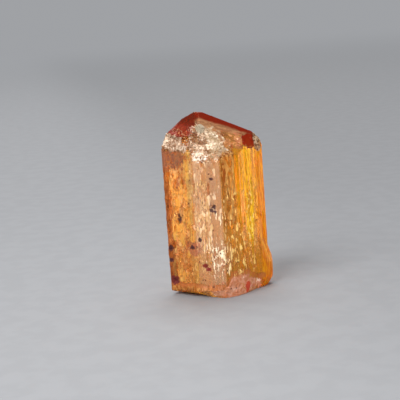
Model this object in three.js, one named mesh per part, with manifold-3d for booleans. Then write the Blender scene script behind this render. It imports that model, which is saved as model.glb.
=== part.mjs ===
// Topaz crystal: a striated orthorhombic prism with a pyramid on top, one corner of it broken
// and frosted, standing on its broken base. Millimetres. +Z is up, along the c axis; +X lies
// along the b axis; the front of the crystal (the a axis) faces -Y. The origin is on the base.
import * as THREE from "three";
import { SimplexNoise } from "three/addons/math/SimplexNoise.js";
import { mergeVertices } from "three/addons/utils/BufferGeometryUtils.js";
import Module from "manifold-3d";

const wasm = await Module();
wasm.setup();

// ---- Driving dimensions -------------------------------------------------------------------

// Axial lengths of topaz in angstroms. Only their ratios matter: they set the slope of each face.
const CELL = { a: 4.65, b: 8.8, c: 8.39 };

const COLUMN = { bottom: -1, top: 25 }; // the raw column, before its ends are cut
const RISER = 0.06; // width of the step between two striation strips

// Prism faces, anticlockwise in plan: Miller indices h and k, distance from the axis, how far
// the striation strips rise or sink, their mean width, and how far the growth ledges stand out.
const PRISM = [
  { h: 1, k: 1, distance: 4.62, relief: 0.05, strip: 0.36, ledges: 9, pits: 5 },
  { h: 1, k: 2, distance: 4.46, relief: 0.06, strip: 0.34, ledges: 11, pits: 5 },
  { h: -1, k: 2, distance: 4.93, relief: 0.06, strip: 0.5, ledges: 7, pits: 4 },
  { h: -1, k: 1, distance: 4.25, relief: 0.06, strip: 0.55, ledges: 8, pits: 4 },
  { h: -1, k: -1, distance: 4.4, relief: 0.06, strip: 0.5, ledges: 8, pits: 4 },
  { h: -1, k: -2, distance: 4.46, relief: 0.06, strip: 0.5, ledges: 8, pits: 5 },
  { h: 1, k: -2, distance: 4.46, relief: 0.04, strip: 0.5, ledges: 9, pits: 16 },
  { h: 1, k: -1, distance: 4.62, relief: 0.05, strip: 0.4, ledges: 5, pits: 5, smoothEnd: 1.6 },
];
const LEDGE = { width: [0.22, 0.7], length: [2, 11], height: [0.03, 0.1] };
const PIT = { radius: [0.07, 0.17], depth: [0.06, 0.14] };

// Faces of the termination: Miller indices and a point each passes through.
const TERMINATION = [
  { indices: [1, 1, 2], point: [-1.6, 0, 22.68] },
  { indices: [-1, 1, 2], point: [-1.6, 0, 22.68] },
  { indices: [1, -1, 2], point: [-1.6, 0, 22.5] },
  { indices: [-1, -1, 2], point: [-1.6, 0, 22.5] },
  { indices: [0, -1, 1], point: [-3.0, 0, 22.0] },
  { indices: [0, -2, 1], point: [-5.85, 0, 18.73] },
  { indices: [0, 1, 9], point: [-1.4, 0, 22.34] },
];

// Broken surfaces. `outward` is the way each one looks, `point` its middle. It is `width` by
// `height`, hollowed by `bowl`, roughened by `relief` in grains of `grain`.
const BREAKS = [
  // the frosted hollow under the ridge, at the front left
  {
    outward: [-0.2, -0.8, 0.56], point: [-1.35, -3.15, 18.95], spin: 0.1,
    width: 4.4, height: 5.4, bowl: 0.35, relief: 0.24, grain: 0.36,
  },
  // the band that runs from the hollow to the left edge
  {
    outward: [-0.62, -0.55, 0.56], point: [-4.7, -1.3, 18.95], spin: -0.1,
    width: 4.2, height: 1.5, bowl: 0.15, relief: 0.14, grain: 0.3,
  },
  // the chip off the right end of the ridge
  {
    outward: [0.75, -0.56, 0.35], point: [5.58, -0.45, 18.25], spin: 0,
    width: 3.2, height: 4.4, bowl: 0.08, relief: 0.06, grain: 0.3,
  },
  // the facet struck out beside that chip
  {
    outward: [0.4, -0.75, 0.53], point: [4.3, -1.17, 18.45], spin: 0,
    width: 1.3, height: 2.1, bowl: 0.02, relief: 0, grain: 1,
  },
  // the chips under the left end and the front left of the base
  {
    outward: [-0.3, -0.25, -0.92], point: [-5.5, -0.6, 0.45], spin: 0.3,
    width: 5, height: 6, bowl: 0.1, relief: 0.1, grain: 0.4,
  },
  {
    outward: [-0.45, -0.35, -0.82], point: [-3.3, -3.1, 0.55], spin: 0.2,
    width: 7.2, height: 6, bowl: 0.12, relief: 0.08, grain: 0.4,
  },
  // the chips under the back of the base
  {
    outward: [0.35, 0.42, -0.84], point: [3.4, 2.9, 0.45], spin: 0.4,
    width: 9, height: 6, bowl: 0.15, relief: 0.08, grain: 0.5,
  },
  {
    outward: [-0.4, 0.38, -0.83], point: [-3.4, 2.8, 0.45], spin: -0.2,
    width: 9, height: 6, bowl: 0.12, relief: 0.08, grain: 0.5,
  },
];

// The curved break round the foot of the front. Its lower edge on the base, in plan: where, which
// way it looks, in degrees clockwise from -Y, and how far below the horizontal, in degrees.
const FOOT = {
  reach: 6,
  height: 4,
  sections: 26,
  relief: 0.05,
  edge: [
    { at: [-3.7, 0.5], toward: 68, below: 80 },
    { at: [-3.0, -0.9], toward: 60, below: 70 },
    { at: [-2.3, -2.1], toward: 54, below: 60 },
    { at: [-1.6, -3.2], toward: 47, below: 50 },
    { at: [-0.8, -4.15], toward: 32, below: 33 },
    { at: [0.15, -4.55], toward: 4, below: 17 },
    { at: [1.1, -4.32], toward: -22, below: 10 },
    { at: [2.05, -3.8], toward: -34, below: 8 },
    { at: [3.0, -3.02], toward: -41, below: 7 },
    { at: [3.9, -2.1], toward: -45, below: 7 },
    { at: [4.4, -1.55], toward: -46, below: 6 },
  ],
};

// Iron-stained pits in the prism faces: where, which way they open, and how wide and tall.
const STAINED_PITS = [
  { outward: [-0.73, -0.69, 0], point: [-4.65, -1.51, 9.74], width: 0.5, height: 0.9 },
  { outward: [-0.47, -0.88, 0], point: [-1.2, -4.6, 10.98], width: 0.55, height: 0.6 },
  { outward: [-0.47, -0.88, 0], point: [-1.0, -4.68, 11.35], width: 0.4, height: 0.5 },
  { outward: [-0.47, -0.88, 0], point: [-1.07, -4.66, 14.72], width: 0.25, height: 0.3 },
  { outward: [-0.73, -0.69, 0], point: [-5.6, -0.5, 1.83], width: 0.8, height: 0.8 },
  { outward: [-0.73, -0.69, 0], point: [-5.75, -0.37, 5.98], width: 0.36, height: 0.5 },
  { outward: [-0.73, -0.69, 0], point: [-5.75, -0.37, 4.45], width: 0.3, height: 0.45 },
  { outward: [-0.73, -0.69, 0], point: [-2.75, -3.6, 7.25], width: 0.35, height: 0.5 },
  { outward: [-0.47, -0.88, 0], point: [-2.2, -4.05, 3.9], width: 0.5, height: 0.8 },
  { outward: [0.73, 0.69, 0], point: [4.2, 2.72, 12.2], width: 0.5, height: 0.7 },
  { outward: [-0.73, 0.69, 0], point: [-4.4, 1.86, 14.1], width: 0.4, height: 0.6 },
];
const STAINED_DEPTH = 0.22;

// The lobe of parallel growth on the right edge, near the foot: its outline in plan, and how far
// it is drawn in at each height. It grows out of the column at `root`.
const LOBE = {
  outline: [[4.6, -1.9], [5.9, -1.15], [6.75, -0.35], [7.0, 0.35], [6.65, 1.05], [4.9, 2.2]],
  root: [4.6, 0.2],
  levels: [
    [-0.2, 0.62], [0.5, 0.84], [1, 0.96], [1.8, 1], [3, 1], [3.7, 0.95], [4.4, 0.86], [5, 0.77],
    [5.8, 0.68], [6.6, 0.5],
  ],
};

// ---- Small tools --------------------------------------------------------------------------

// Repeatable random numbers in [0, 1).
function seeded(seed) {
  let state = seed;
  return () => {
    state = (state * 1664525 + 1013904223) % 4294967296;
    return state / 4294967296;
  };
}

const random = seeded(20);
const between = (low, high) => low + (high - low) * random();
const noise = new SimplexNoise({ random: seeded(7) });

// A closed three.js geometry as a solid.
function solidOf(geometry) {
  const bare = geometry.clone();
  bare.deleteAttribute("normal");
  bare.deleteAttribute("uv");
  const merged = mergeVertices(bare, 1e-4);
  return new wasm.Manifold(
    new wasm.Mesh({
      numProp: 3,
      vertProperties: merged.attributes.position.array,
      triVerts: new Uint32Array(merged.index.array),
    }),
  );
}

// A solid as a three.js geometry.
function geometryOf(solid) {
  const { vertProperties, triVerts } = solid.getMesh();
  const geometry = new THREE.BufferGeometry()
    .setAttribute("position", new THREE.BufferAttribute(vertProperties, 3))
    .setIndex(new THREE.BufferAttribute(triVerts, 1));
  geometry.computeVertexNormals();
  return geometry;
}

// Turns a geometry so that its +Z looks along `outward` and its +Y stays as upright as it can,
// and carries it to `point`.
function place(geometry, outward, point, spin = 0) {
  const z = new THREE.Vector3(...outward).normalize();
  const x = new THREE.Vector3(0, 0, 1).cross(z);
  if (x.length() < 0.001) x.set(1, 0, 0);
  x.normalize();
  const basis = new THREE.Matrix4().makeBasis(x, z.clone().cross(x), z);
  geometry.rotateZ(spin);
  geometry.applyMatrix4(basis);
  geometry.translate(...point);
  return geometry;
}

// Outward normal of the face (h k l).
const normalOf = (h, k, l) =>
  new THREE.Vector3(k / CELL.b, -h / CELL.a, l / CELL.c).normalize();

// Takes off all that lies beyond the plane through `point`.
function cutBeyond(solid, outward, point) {
  const side = 80;
  const block = new THREE.BoxGeometry(side, side, side);
  block.translate(0, 0, side / 2);
  return solid.subtract(solidOf(place(block, outward, point)));
}

// Takes off all that lies beyond a rough, hollowed patch of limited width and height.
function breakOff(solid, patch) {
  const reach = 6;
  const block = new THREE.BoxGeometry(
    patch.width,
    patch.height,
    reach,
    Math.round(patch.width / patch.grain),
    Math.round(patch.height / patch.grain),
  );
  block.translate(0, 0, reach / 2);
  const vertices = block.attributes.position;
  for (let i = 0; i < vertices.count; i += 1) {
    if (vertices.getZ(i) > 0.001) continue;
    const across = vertices.getX(i);
    const along = vertices.getY(i);
    const radius = Math.hypot(across / patch.width, along / patch.height) * 2;
    const crag = noise.noise3d(across * 1.9, along * 1.9, patch.point[0]);
    const hollow = patch.bowl * Math.max(0, 1 - radius * radius);
    vertices.setZ(i, patch.relief * crag - hollow);
  }
  return solid.subtract(solidOf(place(block, patch.outward, patch.point, patch.spin)));
}

// ---- The striated column ------------------------------------------------------------------

// The corner where two prism faces meet, in plan.
function cornerOf(first, second) {
  const m = normalOf(first.h, first.k, 0);
  const n = normalOf(second.h, second.k, 0);
  const det = m.x * n.y - m.y * n.x;
  return new THREE.Vector2(
    (first.distance * n.y - second.distance * m.y) / det,
    (second.distance * m.x - first.distance * n.x) / det,
  );
}

// Each face of the prism with its first corner, its length and direction in plan, and its normal.
const SIDES = PRISM.map((face, i) => {
  const start = cornerOf(PRISM.at(i - 1), face);
  const end = cornerOf(face, PRISM[(i + 1) % PRISM.length]);
  const normal = normalOf(face.h, face.k, 0);
  return {
    ...face,
    start,
    length: start.distanceTo(end),
    along: end.clone().sub(start).normalize(),
    outward: new THREE.Vector2(normal.x, normal.y),
  };
});

// A point of a side in plan: so far along it from its first corner, and lifted off it.
const onSide = (side, run, lift = 0) =>
  side.start.clone().addScaledVector(side.along, run).addScaledVector(side.outward, lift);

// The outline of one side: strips at slightly different levels with a narrow riser between them.
function stripedOutline(side) {
  const points = [side.start.clone()];
  const striped = side.length - (side.smoothEnd ?? 0);
  let run = RISER;
  while (run < striped - side.strip / 2) {
    const width = Math.min(side.strip * between(0.6, 1.6), striped - RISER - run);
    const lift = side.relief * between(-1, 1);
    points.push(onSide(side, run, lift), onSide(side, run + width - RISER, lift));
    run += width;
  }
  return points;
}

function column() {
  const outline = new THREE.Shape(SIDES.flatMap(stripedOutline));
  const raw = new THREE.ExtrudeGeometry(outline, {
    depth: COLUMN.top - COLUMN.bottom,
    bevelEnabled: false,
  });
  raw.translate(0, 0, COLUMN.bottom);
  return solidOf(raw);
}

// A bar lying along a side, `depth` into it and `lift` above it. It narrows outward, or inward
// if `flip` is true, so that its edges and its ends slope.
function bar(side, run, height, { width, length, lift, depth, flip = false }) {
  const geometry = new THREE.BoxGeometry(width, length, lift + depth);
  const vertices = geometry.attributes.position;
  for (let i = 0; i < vertices.count; i += 1) {
    if (vertices.getZ(i) < 0 !== flip) continue;
    vertices.setX(i, vertices.getX(i) * 0.7);
    vertices.setY(i, vertices.getY(i) * 0.6);
  }
  const middle = onSide(side, run, (lift - depth) / 2);
  const outward = [side.outward.x, side.outward.y, 0];
  return solidOf(place(geometry, outward, [middle.x, middle.y, height]));
}

// Growth ledges that stand out from the faces, along the column.
function ledged(solid) {
  let worked = solid;
  for (const side of SIDES) {
    const free = side.length - (side.smoothEnd ?? 0);
    for (let i = 0; i < side.ledges; i += 1) {
      const width = between(...LEDGE.width);
      const length = between(...LEDGE.length);
      const lift = side.relief + between(...LEDGE.height);
      const run = between(width, free - width);
      const ledge = bar(side, run, between(0.5, 19), { width, length, lift, depth: 0.15 });
      worked = worked.add(ledge);
    }
  }
  return worked;
}

// Whether the lobe covers a spot of the column.
const underLobe = (spot, height) => spot.x > 4 && height < LOBE.levels.at(-1)[0] + 0.4;

// Grooves that run between the ledges.
function grooved(solid) {
  let worked = solid;
  for (const side of SIDES) {
    const free = side.length - (side.smoothEnd ?? 0);
    for (let i = 0; i < side.ledges; i += 1) {
      const width = between(...LEDGE.width) * 0.7;
      const length = between(...LEDGE.length);
      const depth = side.relief + between(...LEDGE.height) * 0.7;
      const run = between(width, free - width);
      const height = between(1, 19);
      if (underLobe(onSide(side, run), height - length / 2)) continue;
      const groove = bar(side, run, height, { width, length, lift: 0.3, depth, flip: true });
      worked = worked.subtract(groove);
    }
  }
  return worked;
}

// The solid skin over a row of outlines, each with as many corners, in order along the row.
// Looking along the row, the corners run clockwise.
function lofted(outlines) {
  const corners = outlines[0].length;
  const positions = outlines.flat(2);
  const last = (outlines.length - 1) * corners;
  const index = [];
  for (let i = 0; i < last; i += corners) {
    for (let j = 0; j < corners; j += 1) {
      const k = (j + 1) % corners;
      index.push(i + j, i + corners + k, i + corners + j, i + j, i + k, i + corners + k);
    }
  }
  for (let j = 2; j < corners; j += 1) {
    index.push(0, j, j - 1, last, last + j - 1, last + j);
  }
  const geometry = new THREE.BufferGeometry()
    .setAttribute("position", new THREE.Float32BufferAttribute(positions, 3))
    .setIndex(index);
  return solidOf(geometry);
}

// The lobe of parallel growth, drawn in at its top and its foot.
function lobe() {
  const { outline, root, levels } = LOBE;
  const outlines = levels.map(([height, share]) =>
    outline.map(([x, y]) => [
      root[0] + (x - root[0]) * share,
      root[1] + (y - root[1]) * (0.4 + 0.6 * share),
      height,
    ]),
  );
  return lofted(outlines);
}

// ---- The two ends -------------------------------------------------------------------------

function terminated(solid) {
  return TERMINATION.reduce(
    (left, face) => cutBeyond(left, normalOf(...face.indices), face.point),
    solid,
  );
}

// What the curved break takes off round the foot: a wall that stands on the break's lower edge,
// leans outward over the column and has a wavy inner side.
function footWall() {
  const { edge, sections, reach, height, relief } = FOOT;
  const curve = new THREE.CatmullRomCurve3(edge.map(({ at }) => new THREE.Vector3(...at, 0)));
  const angles = new THREE.CatmullRomCurve3(
    edge.map(({ toward, below }) => new THREE.Vector3(toward, below, 0)),
  );
  const outlines = [];
  for (let i = 0; i <= sections; i += 1) {
    const foot = curve.getPoint(i / sections);
    const { x: toward, y: below } = angles.getPoint(i / sections);
    const turn = THREE.MathUtils.degToRad(toward);
    const outward = new THREE.Vector2(-Math.sin(turn), -Math.cos(turn));
    const slope = Math.tan(THREE.MathUtils.degToRad(below));
    const run = Math.min(reach - 1, height * slope);
    const rows = [[0, -1], [0, 0], [0.25, 0], [0.5, 0], [0.75, 0], [1, 0]].map(([share, drop]) => {
      const wave = share > 0 ? relief * noise.noise3d(foot.x * 0.9, foot.y * 0.9, share * 4) : 0;
      return [run * share + wave, (run * share) / slope + drop];
    });
    rows.push([reach, run / slope], [reach, -1]);
    outlines.push(rows.map(([out, up]) => [foot.x + outward.x * out, foot.y + outward.y * out, up]));
  }
  return lofted(outlines);
}

function broken(solid) {
  const level = cutBeyond(solid, [0, 0, -1], [0, 0, 0]);
  return BREAKS.reduce(breakOff, level.subtract(footWall()));
}

// ---- Pits ---------------------------------------------------------------------------------

// A pointed six-sided pit, `depth` deep below the face, its flare carried on above any ledge.
function pit(outward, point, width, height, depth) {
  const flare = (depth + 0.25) / depth;
  const cone = new THREE.ConeGeometry(0.5, 1, 6).rotateX(-Math.PI / 2);
  cone.translate(0, 0, 0.5);
  cone.scale(width * flare, height * flare, depth * flare);
  cone.translate(0, 0, -depth);
  return solidOf(place(cone, outward, point, between(0, 1)));
}

function pitted(solid) {
  let worked = solid;
  for (const { outward, point, width, height } of STAINED_PITS) {
    worked = worked.subtract(pit(outward, point, width, height, STAINED_DEPTH));
  }
  for (const side of SIDES) {
    for (let i = 0; i < side.pits; i += 1) {
      const spot = onSide(side, between(0.3, side.length - 0.3));
      const radius = between(...PIT.radius);
      const mouth = [spot.x, spot.y, between(1.5, 17)];
      const outward = [side.outward.x, side.outward.y, 0];
      const depth = between(...PIT.depth);
      if (underLobe(spot, mouth[2])) continue;
      worked = worked.subtract(pit(outward, mouth, radius * 2, radius * 3, depth));
    }
  }
  return worked;
}

// ---- The part -----------------------------------------------------------------------------

const topaz = new THREE.Mesh(
  geometryOf(pitted(broken(terminated(grooved(ledged(column()).add(lobe())))))),
  new THREE.MeshStandardMaterial({
    color: 0xd98324,
    roughness: 0.2,
    metalness: 0,
    flatShading: true,
    transparent: true,
    opacity: 0.8,
  }),
);
topaz.name = "topaz_crystal";

const part = new THREE.Group();
part.add(topaz);

export default part;
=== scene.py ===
"""A rough topaz crystal on a pale studio floor."""

import math

import bpy
from mathutils import Matrix, Vector, noise


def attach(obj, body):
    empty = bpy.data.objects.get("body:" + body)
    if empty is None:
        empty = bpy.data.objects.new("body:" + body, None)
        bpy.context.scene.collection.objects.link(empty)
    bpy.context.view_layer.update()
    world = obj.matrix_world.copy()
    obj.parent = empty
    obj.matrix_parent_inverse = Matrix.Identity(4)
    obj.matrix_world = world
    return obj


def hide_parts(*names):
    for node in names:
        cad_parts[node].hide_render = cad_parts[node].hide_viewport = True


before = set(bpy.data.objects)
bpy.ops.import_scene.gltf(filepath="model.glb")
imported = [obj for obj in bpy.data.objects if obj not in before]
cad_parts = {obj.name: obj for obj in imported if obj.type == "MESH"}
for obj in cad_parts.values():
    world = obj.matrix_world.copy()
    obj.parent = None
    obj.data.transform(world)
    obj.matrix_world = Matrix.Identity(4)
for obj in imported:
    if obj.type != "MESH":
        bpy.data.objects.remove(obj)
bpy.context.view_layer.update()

MM = 0.001  # metres


# ---- Tools ---------------------------------------------------------------------------------


def only(piece):
    """Selects this piece alone and makes it active."""
    bpy.ops.object.select_all(action="DESELECT")
    piece.select_set(True)
    bpy.context.view_layer.objects.active = piece


class Number:
    """A socket that carries a number. Python's arithmetic on it adds Math nodes."""

    def __init__(self, paint, socket):
        self.paint = paint
        self.socket = socket

    def _math(self, operation, *values):
        return self.paint.node("ShaderNodeMath", {"operation": operation}, values).number()

    def __add__(self, other):
        return self._math("ADD", self, other)

    def __sub__(self, other):
        return self._math("SUBTRACT", self, other)

    def __rsub__(self, other):
        return self._math("SUBTRACT", other, self)

    def __mul__(self, other):
        return self._math("MULTIPLY", self, other)

    __radd__ = __add__
    __rmul__ = __mul__

    def largest(self, other):
        return self._math("MAXIMUM", self, other)

    def least(self, other):
        return self._math("MINIMUM", self, other)

    def power(self, exponent):
        return self._math("POWER", self, exponent)

    def rise(self, low, high):
        """0 below `low`, 1 above `high`, smooth between them. The other way round if low > high."""
        ends = (low, high, 0.0, 1.0) if low < high else (high, low, 1.0, 0.0)
        settings = {"interpolation_type": "SMOOTHSTEP", "clamp": True}
        return self.paint.node("ShaderNodeMapRange", settings, (self, *ends)).number()


class Node:
    """A node that was added to a material."""

    def __init__(self, paint, node):
        self.paint = paint
        self.node = node

    def out(self, name=0):
        return self.node.outputs[name]

    def number(self, name=0):
        return Number(self.paint, self.node.outputs[name])


class Paint:
    """A material under construction."""

    def __init__(self, name):
        self.material = bpy.data.materials.new(name)
        self.material.use_nodes = True
        self.tree = self.material.node_tree
        self.tree.nodes.clear()

    def node(self, kind, settings=None, sockets=()):
        """Adds a node of this type, applies its settings, then fills or links its sockets."""
        node = self.tree.nodes.new(kind)
        for key, value in (settings or {}).items():
            if key == "stops":
                ramp = node.color_ramp.elements
                while len(ramp) < len(value):
                    ramp.new(0.5)
                for stop, (place, colour) in zip(ramp, value):
                    stop.position = place
                    stop.color = (*colour, 1.0)
            else:
                setattr(node, key, value)
        pairs = sockets.items() if isinstance(sockets, dict) else enumerate(sockets)
        for name, value in pairs:
            socket = node.inputs[name]
            if isinstance(value, Number):
                self.tree.links.new(value.socket, socket)
            elif isinstance(value, Node):
                self.tree.links.new(value.out(), socket)
            elif isinstance(value, bpy.types.NodeSocket):
                self.tree.links.new(value, socket)
            else:
                socket.default_value = value
        return Node(self, node)

    def place(self, scale=(1, 1, 1), shift=(0, 0, 0)):
        """Object coordinates in millimetres, stretched and shifted."""
        where = self.node("ShaderNodeTexCoord").out("Object")
        sockets = {"Vector": where, "Scale": [s / MM for s in scale], "Location": shift}
        return self.node("ShaderNodeMapping", {}, sockets).out()

    def grain(self, vector, size, detail=2.0, rough=0.5):
        """Smooth noise from 0 to 1, in lumps of about `size` of the vector's units."""
        sockets = {"Vector": vector, "Scale": 1 / size, "Detail": detail, "Roughness": rough}
        return self.node("ShaderNodeTexNoise", {}, sockets).number("Fac")

    def flakes(self, vector, size):
        """A number from 0 to 1 that differs from one angular cell of this size to the next."""
        sockets = {"Vector": vector, "Scale": 1 / size}
        colour = self.node("ShaderNodeTexVoronoi", {}, sockets).out("Color")
        return self.node("ShaderNodeSeparateColor", {}, [colour]).number("Red")

    def shaken(self, vector, size, reach):
        """The vector moved about by noise in lumps of this size, by up to half of `reach`."""
        sockets = {"Vector": vector, "Scale": 1 / size}
        push = self.node("ShaderNodeTexNoise", {}, sockets).out("Color")
        settings = {"operation": "MULTIPLY_ADD"}
        return self.node("ShaderNodeVectorMath", settings, [push, (reach,) * 3, vector]).out()

    def near(self, middle, vector, reach=(1, 1, 1)):
        """Distance from a middle, in units of the reach along each axis."""
        settings = {"operation": "DIVIDE"}
        scaled = self.node("ShaderNodeVectorMath", settings, [vector, reach])
        middle = [m / r for m, r in zip(middle, reach)]
        apart = self.node("ShaderNodeVectorMath", {"operation": "DISTANCE"}, [scaled, middle])
        return apart.number("Value")

    def blend(self, mask, first, second, mode="MIX"):
        """The second colour over the first, by the mask."""
        settings = {"data_type": "RGBA", "blend_type": mode}
        sockets = {0: mask, 6: first, 7: second}
        return self.node("ShaderNodeMix", settings, sockets).out(2)

    def surface(self, sockets):
        """A surface with these values or links in its sockets."""
        return self.node("ShaderNodeBsdfPrincipled", {}, sockets)

    def cover(self, mask, under, over):
        """The second shader over the first, by the mask."""
        return self.node("ShaderNodeMixShader", {}, [mask, under, over])


def rgb(red, green, blue):
    """An opaque colour, in linear light."""
    return (red, green, blue, 1.0)


def least_of(numbers):
    """The smallest of several numbers."""
    smallest, *others = numbers
    for other in others:
        smallest = smallest.least(other)
    return smallest


# ---- The crystal ---------------------------------------------------------------------------

SKIN_SIZE = 0.108  # between the points of the skin, mm
MERGE = 1e-7  # between corners of the solid's loose triangles that are one corner, m


def grown(node):
    """A copy of the solid with an even skin, worked in millimetres."""
    mesh = node.data.copy()
    crystal = bpy.data.objects.new("topaz", mesh)
    bpy.context.scene.collection.objects.link(crystal)
    mesh.materials.clear()
    only(crystal)
    bpy.ops.object.mode_set(mode="EDIT")
    bpy.ops.mesh.select_all(action="SELECT")
    bpy.ops.mesh.remove_doubles(threshold=MERGE)
    bpy.ops.transform.resize(value=(1 / MM,) * 3, center_override=(0, 0, 0))
    bpy.ops.object.mode_set(mode="OBJECT")
    skin = crystal.modifiers.new("skin", "REMESH")
    skin.mode = "VOXEL"
    skin.voxel_size = SKIN_SIZE
    bpy.ops.object.modifier_apply(modifier="skin")
    return crystal


# Broken, hackly patches of the skin: middle and reach in mm, then how steep their facets are.
HACKLE = [
    ((-1.4, -3.1, 18.6), (2.9, 2.6, 2.6), 0.8),
    ((-4.9, -0.8, 19.2), (1.9, 2.4, 1.5), 0.7),
    ((5.7, -0.3, 18.2), (0.9, 1.5, 1.4), 0.7),
    ((-0.6, -4.6, 4.9), (1.9, 1.4, 2.6), 0.6),
    ((2.6, -3.8, 6.5), (2.4, 1.8, 4.0), 0.42),
    ((-2.4, -3.8, 11.0), (1.2, 1.4, 4.0), 0.3),
    ((-5.0, -1.2, 8.6), (2.6, 2.2, 9.0), 0.4),
    ((4.2, -1.8, 10.4), (1.6, 1.8, 3.0), 0.5),
    ((0.6, -4.4, 1.1), (2.6, 1.4, 1.6), 0.3),
    ((-3.9, -2.6, 0.3), (2.8, 2.2, 0.9), 0.4),
    ((0.0, 4.6, 12.0), (7.0, 2.6, 9.0), 0.2),
]
FACET = 0.55  # across a hackle facet, mm
STRIATION = 0.03  # height of a striation, mm
ETCHING = 0.012  # height of the etching, mm
BROAD, FINE, ETCH = 2.3, 5.2, 2.4  # how many lumps of each kind of noise there are in a mm
STRETCH = 0.035  # how slowly a striation changes along the crystal
CREASE = 32  # degrees between facets, past which their edge stays sharp


def patch(p, middle, reach):
    """1 inside an oval patch, 0 outside it, soft at its ragged rim."""
    away = Vector(((a - m) / r for a, m, r in zip(p, middle, reach))).length
    away += 0.25 * noise.noise(p * 1.3)
    return max(0.0, min(1.0, (1.1 - away) / 0.3))


def facet(p, size, upright=1.0):
    """Height of a surface broken into cells, each a small plane with a tilt of its own."""
    q = Vector((p.x, p.y, p.z * upright)) / size
    middle = noise.voronoi(q)[1][0]
    tilt = noise.cell_vector(middle * 13.7) - Vector((0.5, 0.5, 0.5))
    return (q - middle).dot(tilt) * size


def striated(crystal):
    """Striations along the prism, etching everywhere, and hackle where the skin is broken."""
    mesh = crystal.data
    moved = []
    for vertex in mesh.vertices:
        p = vertex.co
        n = vertex.normal
        upright = max(0.0, 1.0 - 2.2 * n.z * n.z)  # 1 on the prism's faces, 0 on top
        across = Vector((p.x, p.y, p.z * STRETCH))
        broad = noise.noise(across * BROAD + Vector((5, 1, 0)))
        fine = noise.noise(across * FINE + Vector((1, 7, 3)))
        etch = noise.noise(p * ETCH + Vector((9, 2, 4)))
        lift = STRIATION * upright * (broad + fine) + ETCHING * etch
        steep = 0.0
        for middle, reach, slope in HACKLE:
            steep = max(steep, slope * patch(p, middle, reach))
        if steep > 0:
            lift += steep * facet(p, FACET, 1.0 - 0.5 * upright)
            lift += 0.5 * steep * facet(p + Vector((3, 3, 3)), FACET * 0.5)
        spot = p + n * lift
        spot.z = max(spot.z, 0.0)
        moved.append(spot)
    for vertex, spot in zip(mesh.vertices, moved):
        vertex.co = spot
    mesh.update()


def finished(crystal):
    """Back to metres, with crisp creases and smooth skin between them."""
    only(crystal)
    crystal.data.transform(Matrix.Scale(MM, 4))
    bpy.ops.object.shade_smooth_by_angle(angle=math.radians(CREASE))


# ---- The crystal's material ----------------------------------------------------------------

# Tint of the glass across the crystal, from its left edge to its right one: x in mm, then colour.
TINTS = [
    # The first two tints darken the left edge with painted shade.
    (-6.3, (0.12, 0.05, 0.03)),
    (-5.8, (0.5, 0.28, 0.16)),
    (-5.3, (1.0, 0.82, 0.4)),
    (-3.3, (1.0, 0.8, 0.35)),
    (-2.8, (1.0, 0.88, 0.7)),
    (-0.1, (1.0, 0.86, 0.7)),
    (0.15, (0.74, 0.5, 0.24)),
    (1.65, (0.78, 0.52, 0.24)),
    (1.95, (1.0, 0.84, 0.16)),
    (3.1, (1.0, 0.88, 0.18)),
    (3.7, (1.0, 0.95, 0.25)),
    (4.4, (1.0, 0.9, 0.21)),
    (4.9, (1.0, 0.7, 0.13)),
    (5.5, (1.0, 0.48, 0.05)),
    (7.0, (1.0, 0.44, 0.04)),
]
TINT_REACH = (-6.5, 7.2)  # x at the ends of the ramp that holds the tints, mm
DEEP_RED = rgb(0.42, 0.09, 0.12)
IOR = 1.62
AMBER_LIGHT = rgb(0.992, 0.835, 0.04)  # the light that the glass lets through
DENSITY = 520.0  # of the absorption, per metre
BUMP = 0.05 * MM  # height of the finest relief

RIDGE_FALL = (0.95, 0.31)  # how far the ridge runs to the right, and how far it falls

# Oval places with a look of their own: middle in mm, and reach along each axis.
OVALS = {
    "struck": ((4.4, -1.0, 18.45), (1.0, 1.6, 0.85)),
    "bruise": ((-1.5, -2.0, 20.5), (0.55, 0.7, 0.55)),
    "hollow": ((-1.3, -3.1, 18.7), (2.3, 2.6, 2.2)),
    "skirt": ((-0.3, -4.2, 17.3), (1.0, 1.6, 1.4)),
    "shelf": ((-5.2, -1.0, 19.15), (1.5, 2.4, 1.05)),
    "gap": ((-3.3, -2.2, 18.5), (1.3, 2.0, 0.75)),
    "chip": ((5.75, -0.3, 18.2), (0.6, 1.5, 1.2)),
    "nick": ((3.0, -1.4, 18.6), (0.42, 1.2, 0.65)),
    "glint": ((-2.2, -4.0, 17.35), (0.75, 1.2, 0.5)),
    "shade": ((-4.9, -1.0, 17.1), (2.3, 2.6, 1.6)),
    "right_ember": ((0.45, -5.0, 15.2), (0.25, 1.0, 1.5)),
    "left_ember": ((-1.45, -4.6, 13.3), (0.22, 1.0, 1.2)),
    "curd": ((-2.2, -4.1, 9.2), (1.2, 1.6, 6.4)),
    "scuff": ((-3.5, -2.9, 6.2), (1.3, 1.6, 1.1)),
    "low_middle": ((-0.4, -4.8, 5.2), (1.7, 2.0, 2.4)),
    "cluster": ((-0.55, -4.8, 5.3), (0.75, 2.0, 1.5)),
    "drop": ((3.0, -3.2, 0.85), (0.5, 1.0, 0.6)),
}

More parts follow.
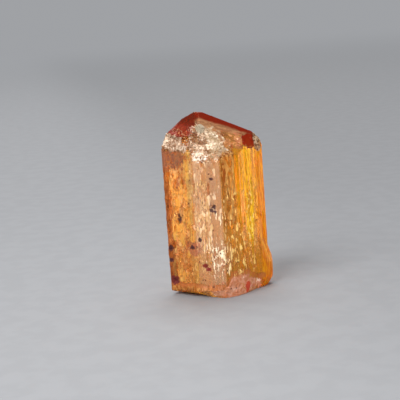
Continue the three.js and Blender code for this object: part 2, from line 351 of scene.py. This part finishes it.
# Iron stains: middle in mm, and reach along each axis.
STAINS = [
    ((-4.65, -1.51, 9.74), (0.3, 0.3, 0.52)),
    ((-1.25, -4.6, 10.9), (0.3, 0.3, 0.28)),
    ((-0.95, -4.7, 11.3), (0.26, 0.3, 0.26)),
    ((-0.85, -4.8, 10.75), (0.2, 0.3, 0.2)),
    ((-1.07, -4.66, 14.72), (0.24, 0.3, 0.16)),
    ((-5.6, -0.5, 1.95), (0.62, 0.7, 0.62)),
    ((-5.85, -0.3, 5.98), (0.35, 0.4, 0.4)),
    ((-5.9, -0.25, 4.45), (0.3, 0.4, 0.3)),
    ((-2.75, -3.6, 7.3), (0.32, 0.3, 0.3)),
    ((-3.6, -2.75, 6.3), (0.32, 0.4, 0.3)),
    ((-2.35, -3.95, 4.1), (0.3, 0.4, 0.3)),
    ((-2.0, -4.15, 3.65), (0.34, 0.4, 0.26)),
    ((4.2, 2.72, 12.2), (0.36, 0.36, 0.4)),
    ((-4.4, 1.86, 14.1), (0.3, 0.3, 0.4)),
]


class Here:
    """A point of the crystal's skin: its place in mm, and the noise that its colours follow."""

    def __init__(self, paint):
        self.paint = paint
        self.spot = paint.place()
        parts = paint.node("ShaderNodeSeparateXYZ", {}, [self.spot])
        self.true_x, self.y, self.true_z = (parts.number(axis) for axis in "XYZ")
        self.smooth_noise()
        self.shards()

    def smooth_noise(self):
        """Noise drawn out along the crystal or its ridge, and x and z made ragged by it."""
        paint = self.paint
        self.speck = paint.grain(paint.place(scale=(1, 1, 0.55)), 0.5, 3.0, 0.6)
        self.lump = paint.grain(paint.place(scale=(1, 1, 0.5), shift=(3, 1, 4)), 1.3, 3.0, 0.55)
        self.grit = paint.grain(paint.place(scale=(1, 1, 0.6), shift=(7, 2, 1)), 0.2, 3.0, 0.6)
        tall = paint.place(scale=(1, 1, 0.16))
        self.ragged = paint.grain(tall, 0.7, 3.0)
        self.streak = paint.grain(tall, 0.26, 3.0, 0.6)
        self.fibre = paint.grain(paint.place(scale=(1, 1, 0.06), shift=(2, 6, 0)), 0.5, 2.0)
        wide = paint.shaken(paint.place(scale=(0.35, 1, 1)), 0.8, 0.8)
        self.wave = paint.grain(wide, 0.55, 3.0, 0.55)
        self.x = self.true_x + (self.ragged - 0.5) * 0.6
        self.z = self.true_z + (paint.grain(self.spot, 0.5, 2.0) - 0.5) * 0.7
        run, fall = RIDGE_FALL
        along = self.x * run - self.z * fall
        across = self.x * fall + self.z * run
        sloping = paint.node("ShaderNodeCombineXYZ", {}, [along * 0.2, self.y, across]).out()
        self.slope = paint.grain(sloping, 0.3, 3.0, 0.6)

    def shards(self):
        """Flakes, splinters and plates of the broken skin, and the cracks between them."""
        paint = self.paint
        jagged = paint.shaken(self.spot, 0.5, 0.5)
        self.flake = paint.flakes(jagged, 0.5)
        self.crumb = paint.flakes(jagged, 0.24)
        self.flaky = self.flake * 0.6 + self.crumb * 0.4
        self.gravel = (self.grit * 0.6 + self.crumb * 0.4).rise(0.4, 0.58)
        standing = paint.shaken(paint.place(scale=(1, 1, 0.5), shift=(1, 5, 2)), 0.4, 0.45)
        self.splinter = paint.flakes(standing, 0.26)
        self.plate = paint.flakes(paint.shaken(paint.place(scale=(1, 1, 0.6)), 0.8, 0.9), 0.85)
        edges = {"feature": "DISTANCE_TO_EDGE"}
        vein = paint.node("ShaderNodeTexVoronoi", edges, {"Vector": standing, "Scale": 1 / 0.7})
        self.vein = vein.number("Distance").rise(0.06, 0.02) * self.speck.rise(0.38, 0.52)
        self.crag = paint.grain(paint.shaken(self.spot, 0.6, 0.6), 0.42, 4.0, 0.62)
        middling = self.crag - 0.5
        self.crack = (middling * middling).rise(0.0012, 0.0002)
        dots = paint.node("ShaderNodeTexVoronoi", {}, {"Vector": self.spot, "Scale": 1 / 0.95})
        self.dot = dots.number("Distance") + (self.grit - 0.5) * 0.3

    def away(self, name):
        """Distance from the middle of an oval place, 1 at its rim."""
        middle, reach = OVALS[name]
        return self.paint.near(middle, self.spot, reach)


class Places:
    """Masks, from 0 to 1, of the places on the crystal that have a look of their own.

    The numbers in them are mm, or the reach of an oval: x.rise(4.9, 5.4) is a place that begins
    between 4.9 and 5.4 mm right of the axis.
    """

    def __init__(self, here):
        self.faces(here)
        self.top(here)
        self.broken(here)
        self.base(here)
        self.marks(here)

    def faces(self, here):
        """The prism's faces, from the left edge to the lobe, and their lower parts."""
        x, y, z = here.x, here.y, here.z
        self.front = y.rise(0.0, -0.8)
        self.thick = self.front * 0.5 + 0.5
        # The left edge, darkened with painted shade.
        self.rim = x.rise(-5.1, -5.9) * z.rise(18.5, 17.5)
        self.left = x.rise(-2.8, -3.2) * z.rise(18.4, 17.8)
        seam = here.true_x.rise(-0.02, -0.14)
        self.pinkish = x.rise(-3.55, -2.85) * seam * z.rise(18.2, 17.4)
        # The smooth strip beside the front edge, which carries a painted sheen.
        self.smooth = x.rise(-1.7, -1.5) * seam * z.rise(18.2, 17.4)
        brown = x.rise(-0.05, 0.2) * x.rise(1.95, 1.7)
        self.brown = brown * z.rise(8.0, 10.0) * z.rise(19.5, 18.5)
        self.golden = x.rise(1.75, 2.0) * x.rise(5.5, 5.1) * (z + x * 0.16).rise(18.3, 18.1)
        core = x.rise(2.9, 3.5) * x.rise(4.8, 4.2)
        self.core = core * self.golden * self.front * z.rise(5.0, 8.0)
        self.right = x.rise(4.9, 5.4) * z.rise(18.0, 17.4)
        # The right side of the lobe, which carries a painted highlight.
        self.lobe = x.rise(6.0, 6.6) * z.rise(8.0, 6.5)
        self.low_left = z.rise(8.0, 5.5) * x.rise(-2.2, -3.0)
        self.low_middle = here.away("low_middle").rise(1.1, 0.6)
        self.low_seam = x.rise(-0.05, 0.2) * x.rise(2.8, 1.9) * z.rise(10.0, 8.0)
        self.low_right = z.rise(10.0, 6.0) * x.rise(2.0, 2.8)

    def top(self, here):
        """The roof, with its red ridge and window, and the struck facet at its right end."""
        x, y, z = here.x, here.y, here.z
        self.roof = z.rise(17.6, 18.4) * x.rise(-2.2, -1.4)
        self.apron = x.rise(0.8, 1.3) * (y - x * 0.17).rise(-1.75, -2.0) * self.front
        ridge = (y + (here.slope - 0.5) * 0.6 - x * 0.07).rise(-1.1, -0.55) * y.rise(1.0, 0.7)
        ridge = ridge * (z - x.rise(-2.5, -3.5) * 1.6).rise(18.4, 18.9)
        window = (z - x * 1.15).rise(23.1, 23.3) * x.rise(-1.7, -2.2)
        self.window = window * z.rise(19.5, 19.8) * (z + x * 0.4).rise(17.9, 18.2)
        self.struck = (here.away("struck") + (here.flake - 0.5) * 0.45).rise(1.1, 0.95)
        self.red = ridge.largest(self.window).largest(self.struck)

    def broken(self, here):
        """The frosted breaks under the roof, their rime with painted glints, their nick and a
        painted glint.
        """
        x, z, lump, crumb = here.x, here.z, here.lump, here.crumb
        chip = here.away("chip")
        self.chip = chip.rise(1.2, 0.8)
        self.shelved = x.rise(-3.3, -3.9)
        deep = [here.away("hollow"), here.away("shelf")]
        slight = [chip + 0.3, here.away("gap") + 0.25, here.away("skirt") + 0.4]
        away = least_of(deep + slight) + (here.ragged - 0.5) + (lump - 0.5) * 1.6
        self.frost = away.rise(1.2, 0.75)
        # Rime: partly the frost's own pale colour, partly painted glints.
        rime_and_glints = crumb * 0.55 + here.flake * 0.3 + (lump - 0.5) + (here.grit - 0.5) * 0.9
        rime_and_glints = self.frost.power(0.6) * rime_and_glints.rise(0.57, 0.83) * (1 - self.shelved * 0.5)
        cracked = self.frost * here.crack * lump.rise(0.45, 0.65) * (0.7 - self.shelved * 0.3)
        thinner = x.rise(-1.5, -0.9) * (z.rise(18.3, 17.8) * 0.45 + 0.3)
        self.rime_and_glints = rime_and_glints.largest(cracked) * (1 - thinner)
        self.nick = (here.away("nick") + (crumb - 0.5) * 1.1).rise(1.1, 0.8)
        glint = here.away("glint") + (crumb - 0.5) * 1.2
        self.glint = glint.rise(0.2, 0.35) * glint.rise(1.0, 0.6) * here.grit.rise(0.38, 0.5)
        self.bruise = here.away("bruise").rise(1.1, 0.9)
        shade = here.away("shade") + (lump - 0.5) * 0.8 + (here.splinter - 0.5) * 0.3
        self.shade = shade.rise(1.45, 0.2)

    def base(self, here):
        """The curved break at the foot of the front, and the worn edge round the base."""
        x, z, lump = here.x, here.z, here.lump
        self.edge = here.true_z.rise(0.5, 0.1) * here.true_x.rise(0.5, -0.5)
        over = (z - x.rise(-0.6, 0.9) * 1.5 + x.rise(2.6, 4.6) * 1.3) - 1.05
        self.foot = over.rise(0.15, -0.05) * self.front * x.rise(5.2, 4.6) * x.rise(-3.2, -2.5)
        foot_rim = over.rise(-0.1, 0.1) * over.rise(0.9, 0.4)
        self.foot_rim = foot_rim * self.front * x.rise(6.0, 5.0)
        sole = z + (lump - 0.5) * 2.4 + (here.splinter - 0.5) * 0.6
        self.sole = sole.rise(0.6, -0.4) * x.rise(-2.4, -3.0)
        self.rind = z.rise(1.5, 0.9) * x.rise(-1.6, -2.4)
        drop = here.away("drop") + (lump - 0.5) * 1.4 + (here.flake - 0.5) * 0.6
        self.drop = drop.rise(1.35, 0.2)

    def marks(self, here):
        """Small marks in the faces: embers, curds, motes and a scuff, and painted sparkles."""
        x, z, streak, splinter = here.x, here.z, here.streak, here.splinter
        ember = here.away("right_ember").least(here.away("left_ember") + 0.25)
        ember = ember + (here.speck - 0.5) * 1.2 + (splinter - 0.5) * 0.9
        self.ember = ember.rise(1.3, 0.5)
        curd = (here.away("curd") + (here.speck - 0.5) * 1.4).rise(1.15, 0.7)
        self.curd = curd * splinter.rise(0.4, 0.75) * self.pinkish
        self.mote = here.dot.rise(0.13, 0.07) * x.rise(2.0, 1.5) * z.rise(17.0, 16.0)
        self.scuff = (here.away("scuff") + (here.lump - 0.5) * 1.6).rise(1.1, 0.6)
        sparkling = z.rise(14.0, 11.0) * x.rise(-2.6, -2.0) * x.rise(5.0, 4.4) * self.front
        cluster = (here.away("cluster") + (here.crumb - 0.5) * 0.9).rise(1.0, 0.5)
        # Painted sparkles: bright specks over the lower middle and the lower faces.
        painted_sparkles = streak.rise(0.55, 0.64) * self.low_middle * 0.85
        painted_sparkles = painted_sparkles.largest(cluster * splinter.rise(0.45, 0.7) * 0.85)
        painted_sparkles = painted_sparkles.largest(streak.rise(0.61, 0.66) * sparkling * 0.85)
        painted_sparkles = painted_sparkles.largest(splinter.rise(0.9, 0.97) * sparkling * x.rise(0.6, 1.0) * 0.5)
        self.painted_sparkles = painted_sparkles * z.rise(2.0, 3.6)


def relief(paint, here, at):
    """Dents too fine for the mesh, and the gloss of the broken skin."""
    height = here.streak * 0.6 + here.speck * 0.6 + at.frost * (here.crag * 2.4 + here.crumb * 0.5)
    height = height + at.foot * here.lump * 2.0 + at.low_middle * here.streak * 1.5
    height = height + at.pinkish * here.grit * 0.5
    sockets = {"Strength": 0.6, "Distance": BUMP, "Height": height}
    dent = paint.node("ShaderNodeBump", {}, sockets)
    gloss = (at.frost * (0.5 - at.shelved * 0.35)).largest(at.foot * 0.6)
    gloss = gloss.largest(at.low_middle).largest(at.pinkish * 0.5)
    return {"Normal": dent, "Coat Weight": gloss, "Coat Roughness": 0.14, "Coat IOR": 1.6}


def clear_glass(paint, here, at, finish):
    """The topaz itself, with a tint that changes from face to face."""
    low, high = TINT_REACH
    stops = [((place - low) / (high - low), tint) for place, tint in TINTS]
    across = (here.x - low) * (1 / (high - low))
    tint = paint.node("ShaderNodeValToRGB", {"stops": stops}, [across]).out("Color")
    tint = paint.blend(here.speck.rise(0.52, 0.66) * 0.6, tint, rgb(0.5, 0.25, 0.2))
    tint = paint.blend(at.left * here.lump.rise(0.54, 0.42) * 0.8, tint, rgb(0.66, 0.32, 0.12))
    tint = paint.blend(at.shade, tint, rgb(0.16, 0.05, 0.06))
    tint = paint.blend(at.golden * here.fibre.rise(0.48, 0.58), tint, rgb(0.9, 0.46, 0.06))
    tint = paint.blend(at.low_right, tint, rgb(1.0, 0.84, 0.5), "MULTIPLY")
    tint = paint.blend(at.low_left * here.lump.rise(0.4, 0.6) * 0.7, tint, rgb(0.6, 0.35, 0.2))
    dim = at.low_middle * here.streak.rise(0.5, 0.4) * 0.7
    tint = paint.blend(dim, tint, rgb(0.5, 0.24, 0.12))
    tint = paint.blend(at.foot_rim * 0.8, tint, rgb(0.55, 0.22, 0.1))
    tint = paint.blend(at.sole * 0.6, tint, rgb(0.5, 0.22, 0.08))
    tint = paint.blend(at.red, tint, DEEP_RED)
    rough = at.golden * (here.streak * 0.25) + here.speck * 0.12 + 0.02
    return paint.surface(
        {
            "Base Color": tint,
            "Roughness": rough.largest(at.frost * 0.3),
            "IOR": IOR,
            "Transmission Weight": 1.0,
            "Specular Tint": rgb(1.0, 0.78, 0.32),
            **finish,
        }
    )


def hazes(paint, here, at):
    """The haze in each face, with painted sheen, a painted highlight and painted shade: how thickly
    it lies, and its colour.
    """
    thick, streak, splinter = at.thick, here.streak, here.splinter
    left = thick * at.left
    umber = paint.blend(splinter.rise(0.1, 0.9), rgb(0.2, 0.06, 0.02), rgb(0.62, 0.33, 0.1))
    amber = paint.blend(streak.rise(0.38, 0.6), rgb(0.78, 0.2, 0.001), rgb(1.0, 0.43, 0.006))
    dusky = paint.blend(streak.rise(0.35, 0.6), rgb(0.15, 0.033, 0.01), rgb(0.38, 0.11, 0.025))
    dust = streak.rise(0.6, 0.68) * 0.3 * (1 - at.golden) * (1 - at.red)
    core = here.fibre.rise(0.56, 0.46) * 0.35 + streak.rise(0.45, 0.6) * 0.35 + 0.2
    return [
        (dust, rgb(0.95, 0.4, 0.06)),
        (thick * at.pinkish * (here.lump * 0.4 + 0.05), rgb(0.9, 0.47, 0.24)),
        # Painted sheen: a pale veil on the smooth strip beside the front edge.
        (thick * at.smooth * (streak * 0.35 + 0.1), rgb(0.72, 0.45, 0.3)),
        (left * here.plate.rise(0.2, 1.0) * (here.grit * 0.5), rgb(0.98, 0.54, 0.13)),
        (left * here.lump.rise(0.42, 0.6) * 0.36, rgb(1.0, 0.54, 0.11)),
        (left * splinter.rise(0.7, 0.95) * 0.36, rgb(0.98, 0.6, 0.22)),
        (thick * at.brown * (splinter * 0.3 + 0.3), umber),
        (at.golden * 0.14, rgb(0.98, 0.46, 0.01)),
        (thick * at.low_seam * (splinter * 0.3 + 0.22), rgb(0.56, 0.25, 0.05)),
        (thick * at.low_left * (here.flaky * 0.3 + 0.12), rgb(0.78, 0.32, 0.08)),
        (thick * at.low_right * (splinter * 0.25 + 0.12), rgb(0.8, 0.32, 0.03)),
        (at.core * core, rgb(1.0, 0.62, 0.03)),
        (at.right * (streak * 0.4 + 0.26), amber),
        # Painted highlight: light orange streaks down the right side of the lobe.
        (at.lobe * streak.rise(0.42, 0.6) * 0.6, rgb(1.0, 0.47, 0.2)),
        # Painted shade: a dark band down the left edge.
        (at.rim * (0.9 - streak.rise(0.4, 0.62) * 0.45), dusky),
        (at.curd * 0.5, rgb(0.95, 0.61, 0.28)),
    ]


def films(paint, here, at):
    """What lies over the haze, painted glints and highlights among it, from the lowest film to the
    topmost: its amount and its colour.
    """
    streak, splinter, flaky, lump = here.streak, here.splinter, here.flaky, here.lump
    pink = at.thick * at.pinkish
    tan = paint.blend(here.slope.rise(0.38, 0.66), rgb(0.26, 0.11, 0.05), rgb(0.42, 0.21, 0.1))
    peach = paint.blend(flaky.rise(0.35, 0.75), rgb(0.26, 0.09, 0.035), rgb(0.56, 0.25, 0.1))
    dun = paint.blend(flaky.rise(0.25, 0.75), rgb(0.28, 0.12, 0.055), rgb(0.64, 0.43, 0.28))
    dun = paint.blend(here.x.rise(-1.4, -0.8) * 0.6, dun, rgb(0.5, 0.38, 0.23))
    ashen = paint.blend(here.gravel, rgb(0.3, 0.16, 0.09), rgb(0.62, 0.46, 0.33))
    speckled = paint.blend(here.gravel, rgb(0.2, 0.1, 0.05), rgb(0.52, 0.36, 0.23))
    salmon = paint.blend(here.wave.rise(0.34, 0.62), rgb(0.58, 0.2, 0.09), rgb(0.8, 0.38, 0.25))
    russet = paint.blend(splinter.rise(0.25, 0.8), rgb(0.27, 0.085, 0.02), rgb(0.5, 0.22, 0.06))
    cream = paint.blend(here.x.rise(0.6, 2.0), rgb(0.98, 0.79, 0.6), rgb(1.0, 0.72, 0.25))
    spark = paint.blend(here.x.rise(-0.9, 1.2), rgb(1.0, 0.84, 0.6), rgb(1.0, 0.72, 0.25))
    # Painted glints: small pale specks in the upper pink band.
    painted_pale_glints = splinter.rise(0.9, 0.97) * here.z.rise(6.5, 9.5) * 0.35
    return [
        (at.roof * (1 - at.apron) * (here.slope * 0.4 + 0.5), tan),
        (at.apron * at.roof * (here.x.rise(1.6, 2.1) * 0.3 + 0.25) * (flaky + 0.5), peach),
        (at.shade * (flaky * 0.35 + 0.35), rgb(0.24, 0.08, 0.045)),
        (at.ember * 0.45, rgb(0.3, 0.07, 0.015)),
        (at.frost * (flaky * 0.4 + 0.3), dun),
        (at.frost * at.shelved * 0.7, ashen),
        (at.foot * 0.65, salmon),
        (at.foot_rim * 0.65, rgb(0.46, 0.15, 0.045)),
        (at.sole * (splinter * 0.5 + 0.1), rgb(0.42, 0.14, 0.04)),
        (at.edge * 0.3, rgb(0.5, 0.17, 0.05)),
        (at.thick * at.rind * (splinter * 0.3 + 0.45), russet),
        (at.scuff * (flaky * 0.5 + 0.15), rgb(0.36, 0.12, 0.06)),
        (at.thick * at.left * here.vein * 0.24, rgb(0.36, 0.1, 0.02)),
        (at.thick * at.golden * here.vein * 0.35, rgb(0.5, 0.2, 0.01)),
        (pink * here.vein * 0.25, rgb(0.55, 0.22, 0.1)),
        (pink * streak.rise(0.44, 0.34) * 0.3, rgb(0.6, 0.24, 0.11)),
        # Painted glints in the upper pink band.
        (pink * painted_pale_glints, rgb(0.96, 0.68, 0.42)),
        (at.red * (lump * 0.5 + 0.12), rgb(0.17, 0.012, 0.004)),
        (at.struck * 0.6, rgb(0.2, 0.014, 0.004)),
        (at.window * here.z.rise(21.5, 20.7) * (lump * 0.3), rgb(0.34, 0.05, 0.03)),
        # Rime over the frost, partly its own pale colour and partly painted glints.
        (at.rime_and_glints * (0.62 - here.x.rise(-4.8, -5.4) * 0.2), cream),
        # Painted sparkles.
        (at.painted_sparkles * 0.95, spark),
        # Painted highlights: pale wavy streaks across the foot.
        (at.foot * here.wave.rise(0.62, 0.72) * 0.35, rgb(0.98, 0.74, 0.58)),
        (at.nick * 0.5, rgb(0.4, 0.14, 0.07)),
        (at.nick * here.crumb.rise(0.55, 0.75) * 0.55, rgb(0.94, 0.55, 0.34)),
        (at.chip * (flaky * 0.4 + 0.35), speckled),
        (at.glint * 0.95, rgb(0.98, 0.88, 0.74)),
        (at.bruise * 0.7, rgb(0.42, 0.34, 0.24)),
        (at.drop * 0.85, rgb(0.56, 0.05, 0.015)),
        (at.mote * 0.85, rgb(0.1, 0.025, 0.015)),
    ]


def veiled(paint, here, at, glass, finish):
    """The glass under its pale veils: the thickest haze shows, and the films lie on it in turn."""
    (thickness, pale), *others = hazes(paint, here, at)
    for amount, colour in others:
        pale = paint.blend((amount - thickness).rise(-0.1, 0.1), pale, colour)
        thickness = thickness.largest(amount)
    for amount, colour in films(paint, here, at):
        pale = paint.blend(amount.rise(0.0, 0.3), pale, colour)
        thickness = thickness + amount - thickness * amount
    sockets = {"Base Color": pale, "Roughness": 0.4, "Specular IOR Level": 0.0, **finish}
    return paint.cover(thickness, glass, paint.surface(sockets))


def rusty(paint, here, skin):
    """The skin with iron stains in its pits: nearly black, or maroon at the lower left."""
    away = least_of([paint.near(middle, here.spot, reach) for middle, reach in STAINS])
    stain = (away + (paint.grain(here.spot, 0.25, 3.0) - 0.5) * 1.8).rise(1.15, 0.8)
    maroon = here.z.rise(5.4, 4.8) * here.x.rise(-4.0, -3.4) + here.z.rise(3.4, 3.0) * 0.5
    rust = paint.blend(maroon, rgb(0.045, 0.012, 0.014), rgb(0.16, 0.008, 0.01))
    sockets = {"Base Color": rust, "Roughness": 0.8, "Specular IOR Level": 0.2}
    return paint.cover(stain * 0.93, skin, paint.surface(sockets))


def topaz_material():
    """Orange glass under veils of haze and frost, painted sparkles, highlights and shade, with rust
    in its pits.
    """
    paint = Paint("topaz")
    here = Here(paint)
    at = Places(here)
    finish = relief(paint, here, at)
    glass = clear_glass(paint, here, at, finish)
    skin = veiled(paint, here, at, glass, finish)
    skin = rusty(paint, here, skin)
    sockets = {"Color": AMBER_LIGHT, "Density": DENSITY}
    absorbing = paint.node("ShaderNodeVolumeAbsorption", {}, sockets)
    paint.node("ShaderNodeOutputMaterial", {}, {"Surface": skin, "Volume": absorbing})
    return paint.material


# ---- Studio --------------------------------------------------------------------------------

MIST = rgb(0.35, 0.359, 0.376)  # what the floor and the backdrop fade into
FLOOR_WIDTH = 8  # metres
BACKDROP = {"radius": 1.3, "depth": 1.3, "location": (0, 0, -0.2)}  # metres
SKY = rgb(0.95, 0.97, 1.0)
SKY_GLOW = 0.42


def floor_material():
    """Grey paper by the crystal, with painted shade that darkens it behind and to the right, and
    painted light that makes it paler with distance, up to an unbroken horizon.
    """
    paint = Paint("studio_floor")
    spot = paint.place()
    fleck = paint.grain(spot, 3.0, 4.0)
    parts = paint.node("ShaderNodeSeparateXYZ", {}, [spot])
    side, back = parts.number("X"), parts.number("Y")
    away = paint.near((0, 0, 0), spot)
    # Painted shade: darker behind the crystal than in front of it.
    tone = paint.blend(back.rise(-90, 90), rgb(0.36, 0.363, 0.376), rgb(0.29, 0.293, 0.304))
    # Painted light: paler far off, where the lamps' light falls away.
    tone = paint.blend(away.rise(100, 1200), tone, rgb(0.9, 0.91, 0.93))
    # Painted shade: darker to the right.
    tone = paint.blend(side.rise(-15, 30), tone, rgb(0.83, 0.83, 0.83), "MULTIPLY")
    tone = paint.blend(fleck.rise(0.4, 0.6), tone, rgb(0.96, 0.96, 0.96), "MULTIPLY")
    skin = paint.surface({"Base Color": tone, "Roughness": 0.9})
    mist = paint.node("ShaderNodeEmission", {}, {"Color": MIST, "Strength": 1.0})
    skin = paint.cover(away.rise(200, 1000), skin, mist)
    paint.node("ShaderNodeOutputMaterial", {}, {"Surface": skin})
    return paint.material


def studio_floor():
    """A floor, and a round backdrop that starts under it."""
    bpy.ops.object.select_all(action="DESELECT")
    bpy.ops.mesh.primitive_plane_add(size=FLOOR_WIDTH, location=(0, 0, 0))
    floor = bpy.context.object
    floor.name = "studio_floor"
    paper = floor_material()
    floor.data.materials.append(paper)
    bpy.ops.mesh.primitive_cylinder_add(vertices=96, end_fill_type="NOTHING", **BACKDROP)
    backdrop = bpy.context.object
    backdrop.name = "studio_backdrop"
    backdrop.data.materials.append(paper)


def softbox(name, place, aim, size, glow, colour=(1, 1, 1)):
    """A soft panel of this brightness that shows in the crystal but not to the camera."""
    lamp = bpy.data.lights.new(name, "AREA")
    lamp.shape = "RECTANGLE"
    lamp.size, lamp.size_y = size
    lamp.energy = glow * math.pi * size[0] * size[1]
    lamp.color = colour
    holder = bpy.data.objects.new(name, lamp)
    holder.location = place
    holder.rotation_euler = (Vector(aim) - Vector(place)).to_track_quat("-Z", "Y").to_euler()
    holder.visible_camera = False
    bpy.context.scene.collection.objects.link(holder)
    return holder


MIDDLE = (0, 0, 0.011)  # of the crystal, in metres

# Soft boxes over the crystal: place and size in metres, and brightness.
BOXES = [
    ("key", (-0.35, -0.32, 0.45), (0.34, 0.34), 10.4),
    ("top", (0.05, 0.15, 0.45), (0.3, 0.3), 5.0),
]
# One more, behind the crystal, which lights it alone.
BEHIND = ("behind", (0.09, 0.16, 0.14), MIDDLE, (0.16, 0.12), 6.0)

# Small bright cards that stand close round the crystal and light it alone: direction from the
# crystal in degrees, clockwise from +Y, then width in metres, brightness and colour.
CARDS = [
    ("card_behind", -35, 0.018, 1.8, (1.0, 0.9, 0.7)),
    ("card_right", 85, 0.018, 1.9, (1.0, 0.84, 0.5)),
    ("card_front", 170, 0.022, 2.1, (1.0, 1.0, 1.0)),
    ("card_left", -97, 0.018, 1.9, (1.0, 1.0, 1.0)),
]
CARD_AWAY = 0.03  # from the crystal's axis to a card, metres
CARD_HEIGHT = 0.03
CARD_LEVEL = 0.015  # of a card's middle


def studio_light(crystal):
    """A pale sky, the soft boxes, and the lamps that light the crystal alone."""
    world = bpy.data.worlds.new("studio")
    bpy.context.scene.world = world
    world.use_nodes = True
    sky = world.node_tree.nodes["Background"]
    sky.inputs["Color"].default_value = SKY
    sky.inputs["Strength"].default_value = SKY_GLOW
    for name, place, size, strength in BOXES:
        softbox(name, place, MIDDLE, size, strength)
    alone = [softbox(*BEHIND)]
    aim = (0, 0, CARD_LEVEL)
    for name, azimuth, width, strength, colour in CARDS:
        turn = math.radians(azimuth)
        place = (CARD_AWAY * math.sin(turn), CARD_AWAY * math.cos(turn), CARD_LEVEL)
        alone.append(softbox(name, place, aim, (width, CARD_HEIGHT), strength, colour))
    lit = bpy.data.collections.new("lit_by_cards")
    lit.objects.link(crystal)
    for lamp in alone:
        lamp.light_linking.receiver_collection = lit


# What the camera looks at and how far off it stands, in metres, and the angles that it looks
# from, in degrees.
AIM = (-0.001404, 0.002223, 0.011104)
DISTANCE = 0.13889
AZIMUTH, ELEVATION, ROLL = -9.6, 10.0, 4.0
LENS, SENSOR = 100, 36  # mm
NEAREST = 0.005  # that the camera sees, metres


def camera():
    """A long lens, from a little above and left of the front."""
    azimuth, elevation, roll = (math.radians(angle) for angle in (AZIMUTH, ELEVATION, ROLL))
    back = Vector(
        (
            math.sin(azimuth) * math.cos(elevation),
            -math.cos(azimuth) * math.cos(elevation),
            math.sin(elevation),
        )
    )
    level = Vector((math.cos(azimuth), math.sin(azimuth), 0))
    upright = back.cross(level)
    right = level * math.cos(roll) - upright * math.sin(roll)
    up = level * math.sin(roll) + upright * math.cos(roll)
    lens = bpy.data.cameras.new("camera")
    lens.lens = LENS
    lens.sensor_width = SENSOR
    lens.clip_start = NEAREST
    holder = bpy.data.objects.new("camera", lens)
    turn = Matrix((right, up, back)).transposed()
    stand = Vector(AIM) + back * DISTANCE
    holder.matrix_world = Matrix.Translation(stand) @ turn.to_4x4()
    bpy.context.scene.collection.objects.link(holder)
    bpy.context.scene.camera = holder


crystal = grown(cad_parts["topaz_crystal"])
striated(crystal)
finished(crystal)
crystal.data.materials.append(topaz_material())
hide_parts("topaz_crystal")
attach(crystal, "root")

studio_floor()
studio_light(crystal)
camera()
bpy.context.scene.view_settings.view_transform = "Standard"
